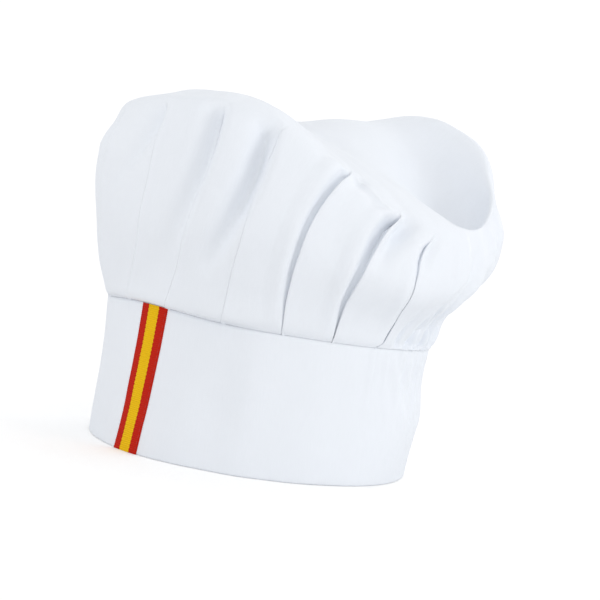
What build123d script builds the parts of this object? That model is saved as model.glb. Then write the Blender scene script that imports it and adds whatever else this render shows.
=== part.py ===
from build123d import *
import math
import os

import numpy as np

# Chef toque: a low band that stands on its folded edge, and a soft pleated crown sewn round its top.
# Origin at the centre of the band's bottom edge, +Z up, -Y to the front (the ribbon),
# +X to the wearer's left. Millimetres. Plan angles are degrees anticlockwise from +X, so the
# centre front is at 270. An inset is a distance inward from the band's outer face.

OUT = "parts"

# ---- band ----
BAND_R = 95.0            # outer radius of the stiff front half
BACK_DEPTH = 91.0        # outer depth of the back half, pulled in a little by its elastic
BAND_H = 80.0
CENTRE_FRONT = 270.0
FRONT_HALF_DEG = 87.0    # the front panel runs this far each way from the centre front
FRONT_START = CENTRE_FRONT - FRONT_HALF_DEG    # side seam on the wearer's right
FRONT_END = CENTRE_FRONT + FRONT_HALF_DEG      # side seam on the wearer's left
SEAM_GAP_DEG = 0.08      # butt gap at each side seam
CLOTH = 0.6              # one layer of cloth
GAP = 0.1                # play between two layers
FOLD_OVERLAP = 0.2       # the bottom fold runs this far into both layers

INTERFACING_T = 0.8      # fused stiffener inside the front panel
INTERFACING_BOTTOM_GAP = 0.15    # above the bottom fold
INTERFACING_TOP_GAP = 0.4
ELASTIC_T = 0.8          # woven elastic inside the back panel
ELASTIC_W = 25.0
ELASTIC_TOP = 77.0
ELASTIC_BOTTOM = ELASTIC_TOP - ELASTIC_W
CORE_TRIM_DEG = 0.6      # interfacing and elastic stop this far short of the panel's ends

# ---- crown seam ----
CROWN_Z0 = BAND_H + 0.1  # bottom of the crown
ALLOWANCE = 8.0          # seam allowance, turned down inside the band
ALLOWANCE_GAP = 0.15     # between the band's inner face and the allowance
OVERLOCK_W = 1.6         # overlocked thread edge below the allowance
OVERLOCK_GAP = 0.08
OVERLOCK_OUTWARD = 0.05  # the overlock is thicker than the allowance by these two
OVERLOCK_INWARD = 0.25
FLANGE_INSET = 0.1
ALLOWANCE_BOTTOM = CROWN_Z0 - ALLOWANCE

# ---- insets of the outward (OUT) and inward (IN) face of each layer ----
SHELL_OUT, SHELL_IN = 0.0, CLOTH
CORE_OUT = SHELL_IN + GAP
CORE_IN = CORE_OUT + INTERFACING_T
LINING_OUT = CORE_IN + GAP
LINING_IN = LINING_OUT + CLOTH
ALLOWANCE_OUT = LINING_IN + ALLOWANCE_GAP
ALLOWANCE_IN = ALLOWANCE_OUT + CLOTH

# ---- ribbon over the centre front ----
RIBBON_W = 20.0
STRIPE_W = 8.0           # its middle stripe
RIBBON_T = 0.5
RIBBON_GAP = 0.08        # between band and ribbon
RIBBON_R = BAND_R + RIBBON_GAP
RIBBON_BOTTOM = 0.1
RIBBON_H = BAND_H - 0.3
STRIPE_GAP = 0.015       # each side of a boundary between stripes
LEAN_BOTTOM, LEAN_TOP = -2.0, 5.4    # x of its middle at the band's bottom and top

# ---- stitches ----
STITCH_D = 0.35          # thread thickness
STITCH_W = STITCH_D * 1.4
STITCH_L = 2.2
STITCH_PITCH = 3.2
STITCH_GAP = 0.03        # between a face and the stitches that lie on it
ROW_BOTTOM = 1.5         # where the upright rows start
RIBBON_ROW_TOP = BAND_H - 2
RIBBON_ROW_INDENT = 1.1  # in from the ribbon's edge
SIDE_ROW_TOP = ALLOWANCE_BOTTOM - OVERLOCK_W - 1.5
SIDE_ROW_DEG = 1.4       # from the side seam, into the front panel
SEAM_STITCH_L = 3.4      # the row round the crown seam allowance
SEAM_PITCH = 5.0
SEAM_R = 93.0            # nominal radius the seam stitches are counted on
SEAM_STITCH_GAP = 0.06
SEAM_ROW_DROP = 2.0      # below the crown's bottom

BAR_T, BAR_W, BAR_H = 0.08, 1.6, 2.4    # stitched bars at the elastic's ends
BAR_PITCH = 4.0
BAR_COUNT = 6
BAR_FIRST = 1.0          # first bar's bottom, above the elastic's lower edge
BAR_DEG = 2.6            # from the side seam, into the back panel
BAR_INSET = CORE_OUT - 0.05

# ---- blank care label at the inner back, a little to the wearer's left ----
LABEL_W, LABEL_H, LABEL_T = 30.0, 38.0, 0.3
LABEL_DEG = 75.0
LABEL_INSET = ALLOWANCE_IN + 2.15
LABEL_TOP = CROWN_Z0 - 3.2

# ---- crown outline ----
# It sinks over the wearer's left and overhangs the band all round.
# Each ring is (pleat depth, radii, heights), with values every 30 degrees anticlockwise
# from plan angle TABLE_START. One number stands for a level ring or a round one.
TABLE_START = -45.5
TABLE_SIZE = 12
CROWN_RINGS = [
    # lip, just above the band
    (0.6,
     [98.2, 96.8, 97.2, 98.8, 98.3, 97.0, 96.5, 97.0, 97.0, 96.8, 98.0, 98.8],
     83.2),
    # low on the side
    (2.0,
     [102.5, 101.0, 101.4, 102.1, 102.8, 103.0, 102.0, 102.0, 102.2, 101.2, 102.4, 103.0],
     [94.0, 93.0, 93.0, 94.0, 95.0, 95.0, 95.0, 95.0, 95.0, 96.0, 96.0, 95.0]),
    # middle of the side
    (3.2,
     [110.0, 112.0, 117.0, 118.0, 118.0, 117.0, 114.0, 113.0, 111.5, 107.8, 109.5, 110.0],
     [117.0, 110.0, 109.0, 116.0, 119.0, 120.0, 120.0, 120.0, 120.0, 122.0, 122.0, 120.0]),
    # widest bulge
    (3.0,
     [114.0, 117.0, 123.0, 131.0, 128.0, 122.0, 118.0, 116.0, 114.0, 112.0, 113.0, 114.0],
     [152.0, 132.0, 131.0, 147.0, 158.0, 162.0, 162.0, 161.0, 163.0, 167.0, 166.0, 161.0]),
    # corner between side and top
    (1.2,
     [106.0, 110.0, 117.0, 122.0, 117.0, 111.0, 107.0, 106.0, 104.0, 101.0, 103.0, 106.0],
     [184.0, 157.0, 149.0, 170.0, 207.0, 207.0, 199.0, 195.0, 195.0, 194.0, 196.0, 199.0]),
    # outer part of the top
    (0.0,
     [86.0, 88.0, 94.0, 97.0, 92.0, 89.0, 87.0, 85.0, 83.0, 82.0, 84.0, 86.0],
     [195.0, 171.0, 160.0, 154.0, 188.0, 207.0, 199.0, 197.5, 198.0, 199.0, 203.5, 206.5]),
    # middle of the top
    (0.0,
     [58.0, 60.0, 63.0, 66.0, 62.0, 60.0, 58.0, 57.0, 56.0, 55.0, 56.0, 58.0],
     [197.0, 184.0, 174.0, 171.0, 189.0, 204.0, 199.0, 196.0, 197.0, 199.0, 203.0, 204.3]),
    # inner part of the top
    (0.0,
     26.0,
     [193.5, 189.5, 187.0, 187.5, 193.0, 197.0, 196.5, 195.0, 196.0, 197.3, 199.0, 198.0]),
]
CAP_R, CAP_Z = 7.0, 193.5    # flat round cap on the axis
CROWN_T = 0.9                # crown cloth, with its pleat folds averaged in
RING_POINTS = 72

# Folds, in degrees from the centre front towards the wearer's left
FRONT_PLEATS = [-87.0, -71.0, -53.5, -33.0, -12.0, 8.3, 29.5, 50.0, 67.0, 85.2]
BACK_GATHERS = [
    97.0, 108.0, 121.0, 133.0, 146.0, 158.0, 171.0,
    184.0, 197.0, 209.0, 222.0, 235.0, 248.0, 261.0,
]
PLEAT_WIDTH, GATHER_WIDTH = 4.5, 4.0    # degrees
FOLDS = [(p, PLEAT_WIDTH) for p in FRONT_PLEATS] + [(g, GATHER_WIDTH) for g in BACK_GATHERS]


# ---- the band's plan: a half circle in front, a half ellipse behind ----
def plan_solid(inset, z0, z1):
    plane = Plane((0, 0, z0))
    radius, depth = BAND_R - inset, BACK_DEPTH - inset
    front = Edge.make_circle(radius, plane=plane, start_angle=180, end_angle=360)
    back = Edge.make_ellipse(radius, depth, plane=plane, start_angle=0, end_angle=180)
    return Solid.extrude(Face(Wire([front, back])), Vector(0, 0, z1 - z0))


def ring(inset_out, inset_in, z0, z1):
    return plan_solid(inset_out, z0, z1) - plan_solid(inset_in, z0 - 1, z1 + 1)


def plan_r(deg, inset):
    """Distance from the axis to the inset plan at a plan angle."""
    cos, sin = math.cos(math.radians(deg)), math.sin(math.radians(deg))
    radius, depth = BAND_R - inset, BACK_DEPTH - inset
    if sin <= 0:
        return radius
    return 1.0 / math.sqrt((cos / radius) ** 2 + (sin / depth) ** 2)


def plan_normal(deg, inset):
    """Plan angle of the inset plan's outward normal at a plan angle."""
    cos, sin = math.cos(math.radians(deg)), math.sin(math.radians(deg))
    if sin <= 0:
        return deg
    return math.degrees(math.atan2(sin / (BACK_DEPTH - inset) ** 2, cos / (BAND_R - inset) ** 2))


def on_band(shape, deg, inset, z):
    """Places a small shape, modelled at the origin with +X outward and +Z up, on the band."""
    r = plan_r(deg, inset)
    angle = math.radians(deg)
    place = (r * math.cos(angle), r * math.sin(angle), z)
    return Location(place, (0, 0, plan_normal(deg, inset))) * shape


def sector(deg0, deg1, z0=-10.0, z1=120.0, reach=260.0):
    """Wedge from the axis between two plan angles, larger than the band."""
    count = max(2, int(abs(deg1 - deg0) // 30) + 1)
    points = [Vector(0, 0, z0)]
    for angle in np.radians(np.linspace(deg0, deg1, count)):
        points.append(Vector(reach * math.cos(angle), reach * math.sin(angle), z0))
    return Solid.extrude(Face(Wire.make_polygon(points, close=True)), Vector(0, 0, z1 - z0))


def front_only(shape, trim=0.0):
    return shape & sector(FRONT_START + trim, FRONT_END - trim)


def back_only(shape, trim=0.0):
    start = FRONT_END - 360.0 + SEAM_GAP_DEG + trim
    end = FRONT_START - SEAM_GAP_DEG - trim
    return shape & sector(start, end)


# ---- band pieces ----
def folded_wall():
    """A doubled cloth wall: outer face, folded bottom edge, inner face, open at the top."""
    outer = ring(SHELL_OUT, SHELL_IN, 0, BAND_H)
    inner = ring(LINING_OUT, LINING_IN, 0, BAND_H)
    fold = ring(SHELL_IN - FOLD_OVERLAP, LINING_OUT + FOLD_OVERLAP, 0, CLOTH)
    return outer + fold + inner


def interfacing():
    bottom, top = CLOTH + INTERFACING_BOTTOM_GAP, BAND_H - INTERFACING_TOP_GAP
    return front_only(ring(CORE_OUT, CORE_IN, bottom, top), CORE_TRIM_DEG)


def elastic():
    strip = ring(CORE_OUT, CORE_OUT + ELASTIC_T, ELASTIC_BOTTOM, ELASTIC_TOP)
    return back_only(strip, CORE_TRIM_DEG)


# ---- crown ----
def table_value(values, deg):
    """Smooth closed curve through a 12-value table, as a Fourier sum."""
    spectrum = np.fft.rfft(np.broadcast_to(values, TABLE_SIZE))
    harmonics = np.arange(len(spectrum))
    weights = np.full(len(spectrum), 2.0)
    weights[[0, -1]] = 1.0
    waves = spectrum * np.exp(1j * harmonics * math.radians(deg - TABLE_START))
    return float(np.sum(weights * waves.real)) / TABLE_SIZE


def fold_depth(deg):
    """How deep into a fold a plan angle lies, from 0 on a panel to 1 in a fold."""
    depth = 0.0
    for fold, width in FOLDS:
        away = (deg - CENTRE_FRONT - fold + 180.0) % 360.0 - 180.0
        depth = max(depth, math.exp(-((away / width) ** 2)))
    return depth


def ring_points(radius_at, height_at):
    """Points round the axis, from a radius and a height at each plan angle."""
    points = []
    for i in range(RING_POINTS):
        deg = 360.0 * i / RING_POINTS
        r, angle = radius_at(deg), math.radians(deg)
        points.append([r * math.cos(angle), r * math.sin(angle), height_at(deg)])
    return points


def band_points(inset):
    return ring_points(lambda deg: plan_r(deg, inset), lambda deg: CROWN_Z0)


def crown_grid():
    """Rings of the crown's outer surface, from the band up to the cap."""
    rows = [band_points(0.0)]
    for pleat, radii, heights in CROWN_RINGS:
        rows.append(ring_points(
            lambda deg: table_value(radii, deg) - pleat * fold_depth(deg),
            lambda deg: table_value(heights, deg),
        ))
    rows.append(ring_points(lambda deg: CAP_R, lambda deg: CAP_Z))
    return np.array(rows)


def offset_grid(grid, thickness):
    """The same rings moved inward along the surface normal."""
    around = (np.roll(grid, -1, axis=1) - np.roll(grid, 1, axis=1))[1:-1]
    upward = grid[2:] - grid[:-2]
    normal = np.cross(around, upward)
    normal /= np.linalg.norm(normal, axis=2, keepdims=True)
    inner = grid.copy()
    inner[1:-1] -= thickness * normal
    # the bottom ring stays in its plane, and the cap moves straight down
    inner[0] = band_points(thickness)
    inner[-1, :, 2] -= thickness
    return inner


def loft_rings(grid):
    # the same parameter at the same plan angle on every ring keeps the loft light
    parameters = [i / RING_POINTS for i in range(RING_POINTS + 1)]
    wires = []
    for row in grid:
        points = [Vector(*point) for point in row]
        wires.append(Wire([Edge.make_spline(points, periodic=True, parameters=parameters)]))
    return Solid.make_loft(wires, ruled=False)


def crown():
    grid = crown_grid()
    shell = loft_rings(grid) - loft_rings(offset_grid(grid, CROWN_T))
    # a short collar joins the crown's edge to the seam allowance that hangs inside the band
    collar_top = CROWN_Z0 + CLOTH
    flange = ring(FLANGE_INSET, ALLOWANCE_IN, CROWN_Z0, collar_top)
    skirt = ring(ALLOWANCE_OUT, ALLOWANCE_IN, ALLOWANCE_BOTTOM, collar_top)
    return shell + (flange + skirt)


def overlock():
    top = ALLOWANCE_BOTTOM - OVERLOCK_GAP
    inset_out, inset_in = ALLOWANCE_OUT - OVERLOCK_OUTWARD, ALLOWANCE_IN + OVERLOCK_INWARD
    return ring(inset_out, inset_in, top - OVERLOCK_W, top)


# ---- ribbon ----
def lean(z):
    """The x of the ribbon's middle at a height."""
    return LEAN_BOTTOM + (LEAN_TOP - LEAN_BOTTOM) * z / BAND_H


def stripe(x0, x1):
    """The part of the ribbon between two leaning edges, x0 and x1 across from its middle."""
    tube = Solid.make_cylinder(RIBBON_R + RIBBON_T, RIBBON_H)
    tube = tube - Solid.make_cylinder(RIBBON_R, RIBBON_H)
    tube = Location((0, 0, RIBBON_BOTTOM)) * tube
    # the cutter covers the front only, and passes the ribbon at both ends
    low, high, y_front, depth = -5, 90, -120, 80
    corners = [(x0, low), (x1, low), (x1, high), (x0, high)]
    outline = [Vector(x + lean(z), y_front, z) for x, z in corners]
    cutter = Solid.extrude(Face(Wire.make_polygon(outline, close=True)), Vector(0, depth, 0))
    return tube & cutter


# ---- stitching and label ----
def centred_box(depth, width, height):
    return Location((-depth / 2, -width / 2, -height / 2)) * Solid.make_box(depth, width, height)


def upright_row(deg_at, inset, z0, z1):
    """Upright row of lock stitches, its plan angle given at each height."""
    count = int((z1 - z0) // STITCH_PITCH)
    stitches = []
    for i in range(count):
        z = z0 + (z1 - z0) / count * (i + 0.5)
        stitches.append(on_band(centred_box(STITCH_D, STITCH_W, STITCH_L), deg_at(z), inset, z))
    return stitches


def ribbon_row(x):
    """Leaning row on the ribbon, x across from its middle."""
    inset = -(RIBBON_GAP + RIBBON_T + STITCH_D / 2 + STITCH_GAP)
    return upright_row(
        lambda z: CENTRE_FRONT + math.degrees((x + lean(z)) / RIBBON_R),
        inset, ROW_BOTTOM, RIBBON_ROW_TOP,
    )


def side_row(deg):
    """Row on the inner face of the front panel."""
    inset = LINING_IN + STITCH_D / 2 + STITCH_GAP
    return upright_row(lambda z: deg, inset, ROW_BOTTOM, SIDE_ROW_TOP)


def crown_seam_row():
    """Row all the way round on the inner face of the seam allowance."""
    inset = ALLOWANCE_IN + STITCH_D / 2 + SEAM_STITCH_GAP
    count = int(2 * math.pi * SEAM_R // SEAM_PITCH)
    stitches = []
    for i in range(count):
        stitch = centred_box(STITCH_D, SEAM_STITCH_L, STITCH_D)
        stitches.append(on_band(stitch, 360.0 * (i + 0.5) / count, inset, CROWN_Z0 - SEAM_ROW_DROP))
    return stitches


def elastic_bars():
    """Bars at the elastic's two ends, between it and the outer cloth."""
    bars = []
    for deg in (FRONT_END - 360.0 + BAR_DEG, FRONT_START - BAR_DEG):
        for i in range(BAR_COUNT):
            z = ELASTIC_BOTTOM + BAR_FIRST + BAR_PITCH * i + BAR_H / 2
            bars.append(on_band(centred_box(BAR_T, BAR_W, BAR_H), deg, BAR_INSET, z))
    return bars


def care_label():
    label = Location((-LABEL_T, -LABEL_W / 2, 0)) * Solid.make_box(LABEL_T, LABEL_W, LABEL_H)
    return on_band(label, LABEL_DEG, LABEL_INSET, LABEL_TOP - LABEL_H)


def write(name, shapes):
    """Writes a shape, or a list of shapes, as one STEP file."""
    if not isinstance(shapes, list):
        shapes = [shapes]
    solids = [solid for shape in shapes for solid in shape.solids()]
    target = solids[0] if len(solids) == 1 else Compound(children=solids)
    export_step(target, os.path.join(OUT, name + ".step"))


os.makedirs("parts", exist_ok=True)

write("front_band", front_only(folded_wall()))
write("back_band", back_only(folded_wall()))
write("front_band_interfacing", interfacing())
write("back_elastic", elastic())
write("elastic_end_stitching", elastic_bars())

write("crown", crown())
write("crown_seam_overlock", overlock())
write("crown_seam_stitching", crown_seam_row())

ribbon_edge, stripe_edge = RIBBON_W / 2, STRIPE_W / 2
write("ribbon_centre_stripe", stripe(-stripe_edge + STRIPE_GAP, stripe_edge - STRIPE_GAP))
write("ribbon_right_stripe", stripe(-ribbon_edge, -stripe_edge - STRIPE_GAP))
write("ribbon_left_stripe", stripe(stripe_edge + STRIPE_GAP, ribbon_edge))
row_x = ribbon_edge - RIBBON_ROW_INDENT
write("ribbon_stitching", ribbon_row(-row_x) + ribbon_row(row_x))

write("left_side_seam_stitching", side_row(FRONT_END - SIDE_ROW_DEG))
write("right_side_seam_stitching", side_row(FRONT_START + SIDE_ROW_DEG))
write("care_label", care_label())
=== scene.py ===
"""Chef's toque: a doubled band, a full pleated crown and a striped ribbon at the centre front.

Frame: origin at the centre of the band's bottom edge, +Z up, -Y to the ribbon (the front), +X to
the wearer's left. Shapes are worked out in millimetres and turned to metres when a mesh is made.
psi is the angle round the hat in degrees, from the centre front towards the wearer's left.
"""
import itertools
import math

import bmesh
import bpy
import numpy as np
from mathutils import Matrix, Vector


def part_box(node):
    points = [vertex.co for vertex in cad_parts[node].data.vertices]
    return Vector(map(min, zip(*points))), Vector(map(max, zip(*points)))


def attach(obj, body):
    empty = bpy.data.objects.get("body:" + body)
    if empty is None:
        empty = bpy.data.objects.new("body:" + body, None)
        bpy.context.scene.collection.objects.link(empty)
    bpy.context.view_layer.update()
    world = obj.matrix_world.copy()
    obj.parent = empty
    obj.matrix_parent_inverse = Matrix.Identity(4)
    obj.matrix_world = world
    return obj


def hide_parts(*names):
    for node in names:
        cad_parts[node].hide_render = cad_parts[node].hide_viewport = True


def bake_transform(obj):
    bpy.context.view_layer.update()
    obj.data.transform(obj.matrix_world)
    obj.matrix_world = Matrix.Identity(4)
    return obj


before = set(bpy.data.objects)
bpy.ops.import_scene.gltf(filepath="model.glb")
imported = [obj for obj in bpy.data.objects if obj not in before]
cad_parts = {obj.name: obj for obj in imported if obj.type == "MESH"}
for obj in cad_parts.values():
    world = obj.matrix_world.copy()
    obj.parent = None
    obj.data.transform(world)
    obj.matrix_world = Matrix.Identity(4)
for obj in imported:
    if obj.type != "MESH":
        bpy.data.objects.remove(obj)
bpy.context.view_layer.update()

_, front_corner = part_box("front_band")
_, back_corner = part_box("back_band")
BAND_RADIUS = front_corner.x * 1000.0 + 0.12      # outer radius of the front half
BAND_HEIGHT = front_corner.z * 1000.0
BACK_DEPTH = back_corner.y * 1000.0               # outer depth of the back half, an ellipse
MM_PER_DEG = BAND_RADIUS * math.pi / 180.0        # arc along the band
BAND_THICKNESS = 2.2
PLY = 0.6                                         # each of the band's two cloth layers
SIDE_SEAM = 87.0                                  # psi of the side seams, both ways
ALLOWANCE = 8.0                                   # crown cloth turned down inside the band


# ------------------------------------------------------------------ curves and noise

def ramp(x, start, end):
    """0 before start, 1 after end, smooth between (start may be above end)."""
    share = np.clip((np.asarray(x, float) - start) / (end - start), 0.0, 1.0)
    return share * share * (3 - 2 * share)


def bump(x, centre, width):
    return np.exp(-(((np.asarray(x, float) - centre) / width) ** 2))


def wrap(degrees):
    return (np.asarray(degrees, float) + 180.0) % 360.0 - 180.0


LATTICE = np.random.RandomState(5).uniform(-1, 1, (32, 32, 32))


def noise(points, scale, offset):
    """Smooth 3-D noise from -1 to 1 at points (..., 3) in mm."""
    place = points / scale + offset + 100.0
    cell = np.floor(place).astype(int)
    part = place - cell
    part = part * part * part * (part * (part * 6 - 15) + 10)
    total = 0.0
    for corner in itertools.product((0, 1), repeat=3):
        weight = np.prod(np.where(corner, part, 1 - part), axis=-1)
        total = total + weight * LATTICE[tuple(np.moveaxis((cell + corner) % 32, -1, 0))]
    return total


# ------------------------------------------------------------------ mesh tools

def grid_quads(rows, cols, closed_rows=False, closed_cols=True):
    """Quads of a rows x cols grid of vertices, as an (N, 4) array."""
    i, j = np.meshgrid(np.arange(rows if closed_rows else rows - 1),
                       np.arange(cols if closed_cols else cols - 1), indexing="ij")
    next_i, next_j = (i + 1) % rows, (j + 1) % cols
    corners = [i * cols + j, i * cols + next_j, next_i * cols + next_j, next_i * cols + j]
    return np.stack(corners, -1).reshape(-1, 4)


def grid_uv(across, along):
    """UVs (N, 4, 2) for grid_quads; a closed direction needs one more value than vertices."""
    grid = np.stack(np.broadcast_arrays(across, along), -1)
    corners = [grid[:-1, :-1], grid[:-1, 1:], grid[1:, 1:], grid[1:, :-1]]
    return np.stack(corners, -2).reshape(-1, 4, 2)


def uv_list(corner_uv):
    return corner_uv.reshape(-1, 2).tolist()


def new_object(name, points, faces, material, uv):
    """A smooth-shaded object from points in mm, with one UV in mm of cloth per face corner."""
    mesh = bpy.data.meshes.new(name)
    mesh.from_pydata((np.asarray(points, float) * 0.001).tolist(), [],
                     [list(map(int, face)) for face in faces])
    mesh.validate()
    mesh.update()
    layer = mesh.uv_layers.new(name="cloth_mm")
    layer.data.foreach_set("uv", np.asarray(uv, np.float32).ravel())
    mesh.polygons.foreach_set("use_smooth", np.ones(len(mesh.polygons), bool))
    mesh.materials.append(material)
    part = bpy.data.objects.new(name, mesh)
    bpy.context.scene.collection.objects.link(part)
    return part


def face_outward(part):
    mesh = bmesh.new()
    mesh.from_mesh(part.data)
    bmesh.ops.recalc_face_normals(mesh, faces=mesh.faces)
    mesh.to_mesh(part.data)
    mesh.free()
    return part


def apply_modifiers(part):
    bpy.context.view_layer.update()
    graph = bpy.context.evaluated_depsgraph_get()
    mesh = bpy.data.meshes.new_from_object(
        part.evaluated_get(graph), preserve_all_data_layers=True, depsgraph=graph)
    old = part.data
    part.modifiers.clear()
    part.data = mesh
    bpy.data.meshes.remove(old)
    mesh.name = part.name


def install(part, piece, blend=False):
    """Hides a CAD piece and puts a part in its place; a plain one is attached to the hat's body, a
    blended one has its transform baked in.
    """
    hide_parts(piece)
    if blend:
        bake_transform(part)
    else:
        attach(part, "hat")


def unit(vectors, least=1e-12):
    return vectors / (np.linalg.norm(vectors, axis=-1, keepdims=True) + least)


# ------------------------------------------------------------------ materials

class Shader:
    """Short calls to add and join the nodes of one tree."""

    def __init__(self, tree):
        self.tree = tree

    def feed(self, socket, value):
        """Links an output, or sets a plain value."""
        if hasattr(value, "is_output"):
            self.tree.links.new(value, socket)
        else:
            socket.default_value = value

    def add(self, kind, *values, output=0, **settings):
        """Adds a node and returns an output. Values go to inputs in order; settings go by name
        to an input (underscore for space) or else to a property."""
        node = self.tree.nodes.new("ShaderNode" + kind)
        for key, value in settings.items():
            label = key.replace("_", " ")
            if label in node.inputs.keys():
                self.feed(node.inputs[label], value)
            else:
                setattr(node, key, value)
        for socket, value in zip(node.inputs, values):
            self.feed(socket, value)
        return node.outputs[output]

    def math(self, operation, *values):
        return self.add("Math", *values, operation=operation)

    def plus(self, first, second):
        return self.math("ADD", first, second)

    def times(self, first, second):
        return self.math("MULTIPLY", first, second)

    def wave(self, value, frequency):
        return self.math("SINE", self.times(value, frequency))

    def centred(self, value, amount):
        """Turns 0..1 into a swing of amount about 0."""
        return self.times(self.math("SUBTRACT", value, 0.5), amount)

    def cloth_uv(self):
        """The cloth map, and its coordinates across and along."""
        uv = self.add("UVMap", uv_map="cloth_mm")
        across = self.add("SeparateXYZ", uv)
        return uv, across, across.node.outputs[1]

    def yarn(self, uv, stretch):
        """Uneven yarn: noise on the cloth map, stretched along the threads."""
        mapped = self.add("Mapping", uv, Scale=stretch)
        return self.add("TexNoise", Vector=mapped, Scale=1.0, Detail=3.0)

    def surface(self, colour, brightness, **settings):
        """A principled surface whose colour is scaled by brightness."""
        rgb = self.tree.nodes.new("ShaderNodeRGB").outputs[0]
        rgb.default_value = (*colour, 1)
        tinted = self.add("VectorMath", rgb, operation="SCALE", Scale=brightness)
        self.finish(self.add("BsdfPrincipled", Base_Color=tinted, **settings))

    def finish(self, shader):
        output = self.tree.nodes.new("ShaderNodeOutputMaterial")
        self.tree.links.new(shader, output.inputs[0])


def new_material(name):
    material = bpy.data.materials.new(name)
    material.use_nodes = True
    material.node_tree.nodes.clear()
    return material, Shader(material.node_tree)


def cloth_material(name, colour, weave=0.42, depth=0.05, roughness=0.9, sheen=0.12, twill=True):
    """Woven cloth; weave (thread pitch) and depth are in millimetres of cloth."""
    material, shader = new_material(name)
    uv, across, along = shader.cloth_uv()
    frequency = 2 * math.pi / weave
    if twill:
        # diagonal lines, partly broken up by the cross threads
        lines = shader.math("SINE", shader.plus(shader.times(across, frequency),
                                                shader.times(along, frequency * 0.36)))
        cross = shader.wave(along, frequency * 1.25)
        height = shader.plus(shader.times(lines, 0.7),
                             shader.times(shader.times(lines, cross), 0.3))
    else:
        height = shader.times(shader.wave(across, frequency), shader.wave(along, frequency))
    place = shader.add("TexCoord", output="Object")
    slub = shader.yarn(uv, stretch=(2.4, 0.11, 1.0))
    threads_height = shader.plus(shader.times(height, 0.5), shader.times(slub, 1.2))
    threads_bump = shader.add("Bump", Strength=0.55, Distance=depth * 0.001,
                              Height=threads_height)
    # soft crumple of the cloth at a few millimetres
    crumple = shader.add("TexNoise", Vector=place, Scale=95.0, Detail=4.0, Roughness=0.55)
    normal = shader.add("Bump", Strength=0.35, Distance=0.0005, Height=crumple,
                        Normal=threads_bump)
    # a little uneven at random, plus painted shade: darker in the weave's troughs
    blotches = shader.add("TexNoise", Vector=place, Scale=22.0, Detail=3.0)
    shade = shader.plus(shader.centred(blotches, 0.04), shader.times(height, 0.012))
    shade = shader.plus(shade, shader.centred(slub, 0.05))
    shader.surface(colour, shader.plus(shade, 1.0), Normal=normal, Roughness=roughness,
                   Sheen_Weight=sheen, Sheen_Roughness=0.45, Specular_IOR_Level=0.25)
    return material


RIB = 1.1       # pitch of the ribbon's cross ribs


def ribbon_material(name, colour):
    """Grosgrain: cross ribs are in the mesh; fine warp threads and a soft sheen are here."""
    material, shader = new_material(name)
    uv, across, along = shader.cloth_uv()
    warp = shader.wave(across, 2 * math.pi / 0.38)      # warp threads, 0.38 mm apart
    ribs = shader.wave(along, 2 * math.pi / RIB)
    yarn = shader.yarn(uv, stretch=(3.0, 0.6, 1.0))
    height = shader.plus(shader.times(warp, 0.5), shader.times(yarn, 0.8))
    normal = shader.add("Bump", Strength=0.5, Distance=0.00006, Height=height)
    # painted shade: the colour turns lighter and darker with the cross ribs and the warp threads;
    # the yarn's unevenness is random tone
    shade = shader.plus(shader.times(ribs, 0.09), 0.95)
    shade = shader.plus(shade, shader.times(warp, 0.03))
    shade = shader.plus(shade, shader.centred(yarn, 0.16))
    shader.surface(colour, shade, Normal=normal, Roughness=0.75, Sheen_Weight=0.03,
                   Specular_IOR_Level=0.08)
    return material


def thread_material(name, colour):
    """Twisted thread: fine diagonal bands."""
    material, shader = new_material(name)
    place = shader.add("TexCoord", output="Object")
    twist = shader.add("TexWave", Vector=place, Scale=900.0, Distortion=1.5,
                       bands_direction="DIAGONAL", output=1)
    normal = shader.add("Bump", Strength=0.5, Distance=0.00005, Height=twist)
    # painted shade: the colour darkens and lightens with the twist's diagonal bands
    shade = shader.plus(shader.times(twist, 0.12), 0.9)
    shader.surface(colour, shade, Normal=normal, Roughness=0.6, Sheen_Weight=0.2)
    return material


DRILL = cloth_material("white_drill", colour=(0.838, 0.871, 0.922))
STIFFENER = cloth_material("non_woven_stiffener", colour=(0.80, 0.80, 0.79), weave=1.3,
                           depth=0.08, roughness=0.95, sheen=0.1, twill=False)
ELASTIC = cloth_material("woven_elastic", colour=(0.83, 0.83, 0.82), weave=1.2, depth=0.2,
                         roughness=0.8, twill=False)
SATIN = cloth_material("blank_satin_tape", colour=(0.86, 0.86, 0.86), weave=0.3, depth=0.02,
                       roughness=0.38, sheen=0.1)
RED = ribbon_material("ribbon_red", colour=(0.55, 0.017, 0.006))
YELLOW = ribbon_material("ribbon_yellow", colour=(0.87, 0.53, 0.006))
WHITE_THREAD = thread_material("white_thread", colour=(0.84, 0.85, 0.88))
RED_THREAD = thread_material("red_thread", colour=(0.50, 0.020, 0.022))


# ------------------------------------------------------------------ shape of the band

def plan_point(psi, inset):
    """Points x, y on the band's plan, inset along the normal, and the outward normals x, y."""
    angle = np.radians(np.asarray(psi, float) - 90.0)
    cos, sin = np.cos(angle), np.sin(angle)
    front = sin <= 0
    ellipse = 1.0 / np.sqrt((cos / BAND_RADIUS) ** 2 + (sin / BACK_DEPTH) ** 2)
    radius = np.where(front, BAND_RADIUS, ellipse)
    x, y = radius * cos, radius * sin
    normal_x = np.where(front, cos, x / BAND_RADIUS ** 2)
    normal_y = np.where(front, sin, y / BACK_DEPTH ** 2)
    length = np.hypot(normal_x, normal_y)
    normal_x, normal_y = normal_x / length, normal_y / length
    return x - normal_x * inset, y - normal_y * inset, normal_x, normal_y


def seam_z(psi):
    """Height of the seam between band and crown: lower at the back, raised at the front."""
    turn = wrap(psi)
    away = np.abs(turn)
    return (BAND_HEIGHT - 2.0 * ramp(away, 45, 95) - 2.4 * ramp(away, 95, 150)
            + 4.2 * bump(turn, -1, 27))


ripple_draw = np.random.RandomState(3)
# amplitude, wavelength in mm, phase
RIPPLES = [(ripple_draw.uniform(0.55, 1.0), ripple_draw.uniform(6.5, 11.0),
            ripple_draw.uniform(0, 6.28)) for _ in range(7)]


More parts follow.
